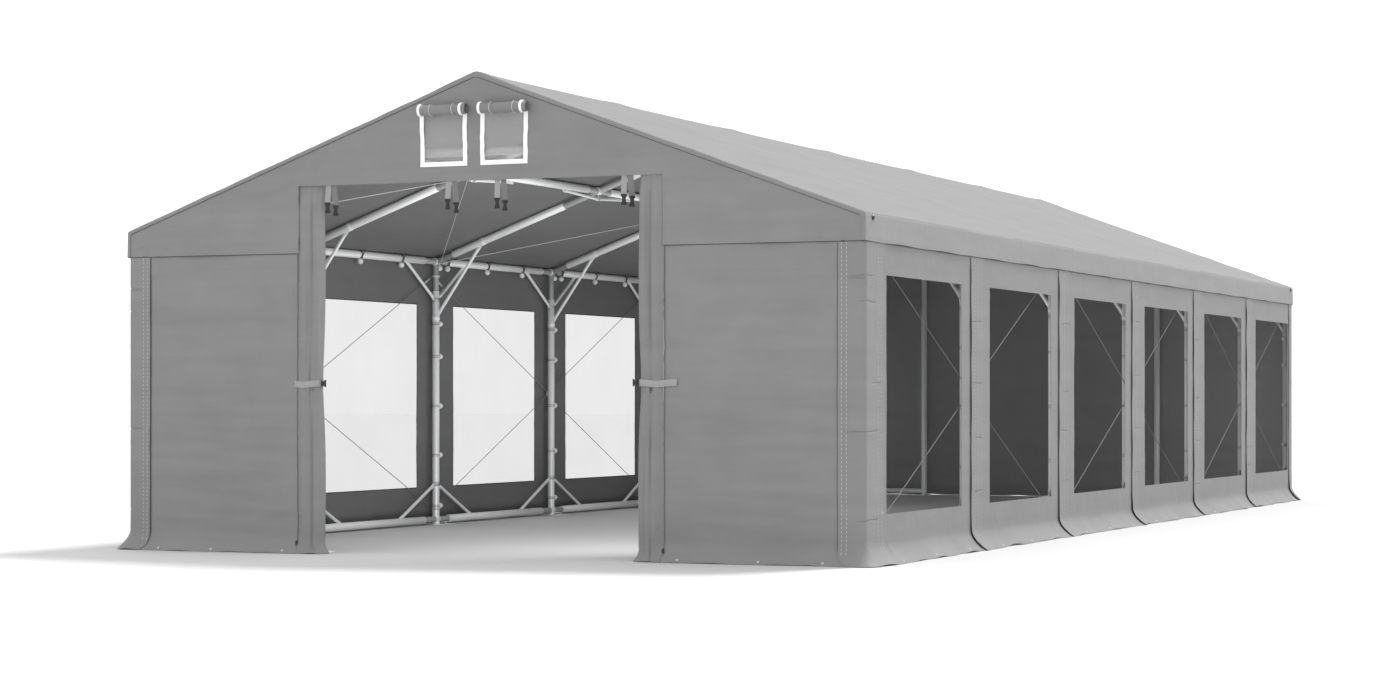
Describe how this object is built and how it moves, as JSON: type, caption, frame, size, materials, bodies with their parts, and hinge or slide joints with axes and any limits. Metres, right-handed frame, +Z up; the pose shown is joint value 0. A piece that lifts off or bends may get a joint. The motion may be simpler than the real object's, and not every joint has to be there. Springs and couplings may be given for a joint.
{
  "type": "marquee tent",
  "caption": "Rectangular gabled marquee with a tubular steel frame, one roof sheet, window walls and a wide entrance with tied-back curtains.",
  "frame": {"origin": "middle of the tent's floor plan, at ground level", "axes": "+Z up, +Y along the ridge towards the closed rear end, +X to the right seen from the entrance, which faces -Y"},
  "size_m": [5.1914, 12.1326, 2.935],
  "materials": {
    "roof_sheet": "white coated tent sheet, satin, seen in soft shade",
    "wall_sheet": "white coated tent sheet, matt, with welded hems and stitched strips",
    "window_film": "clear flexible film, glossy",
    "vent_mesh": "fine open-weave insect mesh",
    "webbing": "light woven webbing",
    "galvanised_steel": "smooth galvanised tube",
    "cable": "twisted steel wire rope"
  },
  "bodies": {
    "root": {"base_rail_left": "galvanised_steel", "base_rail_right": "galvanised_steel", "curtain_tie_left": "webbing", "curtain_tie_right": "webbing", "eave_rail_left": "galvanised_steel", "eave_rail_right": "galvanised_steel", "front_corner_flap_left": "wall_sheet", "front_corner_flap_right": "wall_sheet", "front_curtain_left": "wall_sheet", "front_curtain_right": "wall_sheet", "front_gable": "wall_sheet", "front_vent_mesh": "vent_mesh", "front_vent_roll_left": "wall_sheet", "front_vent_roll_right": "wall_sheet", "front_wall_left": "wall_sheet", "front_wall_right": "wall_sheet", "left_wall_1": "wall_sheet", "left_wall_2": "wall_sheet", "left_wall_3": "wall_sheet", "left_wall_4": "wall_sheet", "left_wall_5": "wall_sheet", "left_wall_6": "wall_sheet", "lintel_straps": "webbing", "mid_purlin_left": "galvanised_steel", "mid_purlin_right": "galvanised_steel", "portal_frame_1": "galvanised_steel", "portal_frame_2": "galvanised_steel", "portal_frame_3": "galvanised_steel", "portal_frame_4": "galvanised_steel", "portal_frame_5": "galvanised_steel", "portal_frame_6": "galvanised_steel", "portal_frame_7": "galvanised_steel", "rear_corner_flap_left": "wall_sheet", "rear_corner_flap_right": "wall_sheet", "rear_door_left": "wall_sheet", "rear_door_right": "wall_sheet", "rear_gable": "wall_sheet", "rear_vent_mesh": "vent_mesh", "rear_vent_roll_left": "wall_sheet", "rear_vent_roll_right": "wall_sheet", "rear_wall_left": "wall_sheet", "rear_wall_right": "wall_sheet", "ridge_rail": "galvanised_steel", "right_wall_1": "wall_sheet", "right_wall_2": "wall_sheet", "right_wall_3": "wall_sheet", "right_wall_4": "wall_sheet", "right_wall_5": "wall_sheet", "right_wall_6": "wall_sheet", "roof_cable_left": "cable", "roof_cable_right": "cable", "roof_cover": "roof_sheet", "side_cables_left": "cable", "side_cables_right": "cable", "window_film_left": "window_film", "window_film_right": "window_film"}
  },
  "joints": []
}
